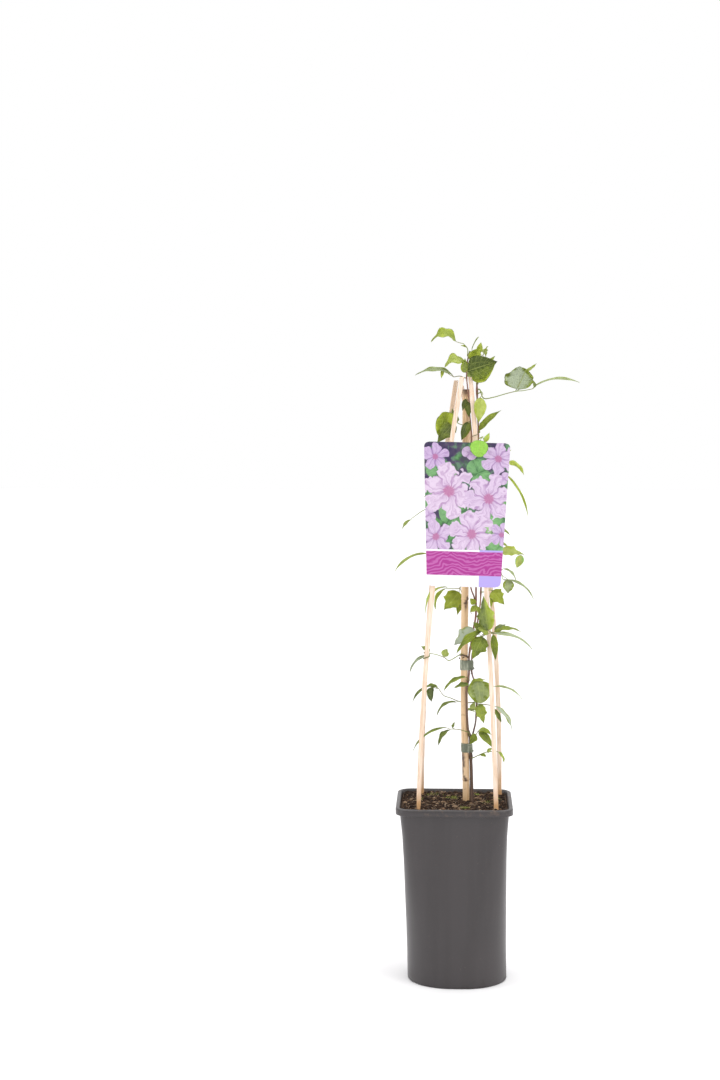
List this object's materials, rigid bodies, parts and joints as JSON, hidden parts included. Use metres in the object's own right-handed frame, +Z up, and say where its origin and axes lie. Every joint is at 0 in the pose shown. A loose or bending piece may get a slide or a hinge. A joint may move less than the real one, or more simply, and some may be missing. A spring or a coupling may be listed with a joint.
{
  "type": "potted clematis",
  "caption": "Young climbing vine in a tall square-topped plastic pot, twining up a bamboo cane inside a pyramid of split-wood sticks, with a hanging picture card.",
  "frame": {"origin": "centre of the pot's flat base, on the ground", "axes": "+Z up the plant; X and Y along the pot's sides, with -Y towards the front, where the card hangs"},
  "size_m": [0.2174, 0.138, 0.7773],
  "materials": {
    "pot_plastic": "fine-grained matt, with dried soil smears near the base",
    "soil": "loose damp potting soil with moss",
    "split_wood": "raw split softwood",
    "bamboo": "dry satin bamboo",
    "tape": "thin matt tying tape",
    "card": "satin printed card",
    "bark": "thin woody vine bark",
    "leaf": "soft satin leaf"
  },
  "bodies": {
    "root": {"pot": "pot_plastic", "soil": "soil", "stick_front_left": "split_wood", "stick_front_right": "split_wood", "stick_back_left": "split_wood", "stick_back_right": "split_wood", "cane": "bamboo", "tie_lower": "tape", "tie_upper": "tape", "picture_card": "card", "vine_stems": "bark", "leaf_foot_right": "leaf", "leaf_low_left": "leaf", "leaf_low_front": "leaf", "leaf_low_right": "leaf", "leaf_low_back": "leaf", "leaf_arch_left": "leaf", "leaf_crinkled": "leaf", "leaf_arch_front": "leaf", "leaf_thin_right": "leaf", "leaf_tie_left": "leaf", "leaf_star_left": "leaf", "leaf_star_right": "leaf", "leaf_bright_left": "leaf", "leaf_small_mid": "leaf", "leaf_light_right": "leaf", "leaf_grey_right": "leaf", "leaf_edge_right": "leaf", "leaf_edge_upper": "leaf", "leaf_top_right": "leaf", "leaf_left_tendril": "leaf", "leaf_left_long": "leaf", "leaf_back_mid": "leaf", "leaf_back_high": "leaf", "leaf_fan_left": "leaf", "leaf_dark_mid": "leaf", "leaf_bundle": "leaf", "leaf_pendant": "leaf", "leaf_dark_right": "leaf", "leaf_over_label": "leaf", "shoot_side": "leaf", "crown_left": "leaf", "crown_long_left": "leaf", "crown_pale": "leaf", "crown_dark": "leaf", "crown_top": "leaf"}
  },
  "joints": []
}
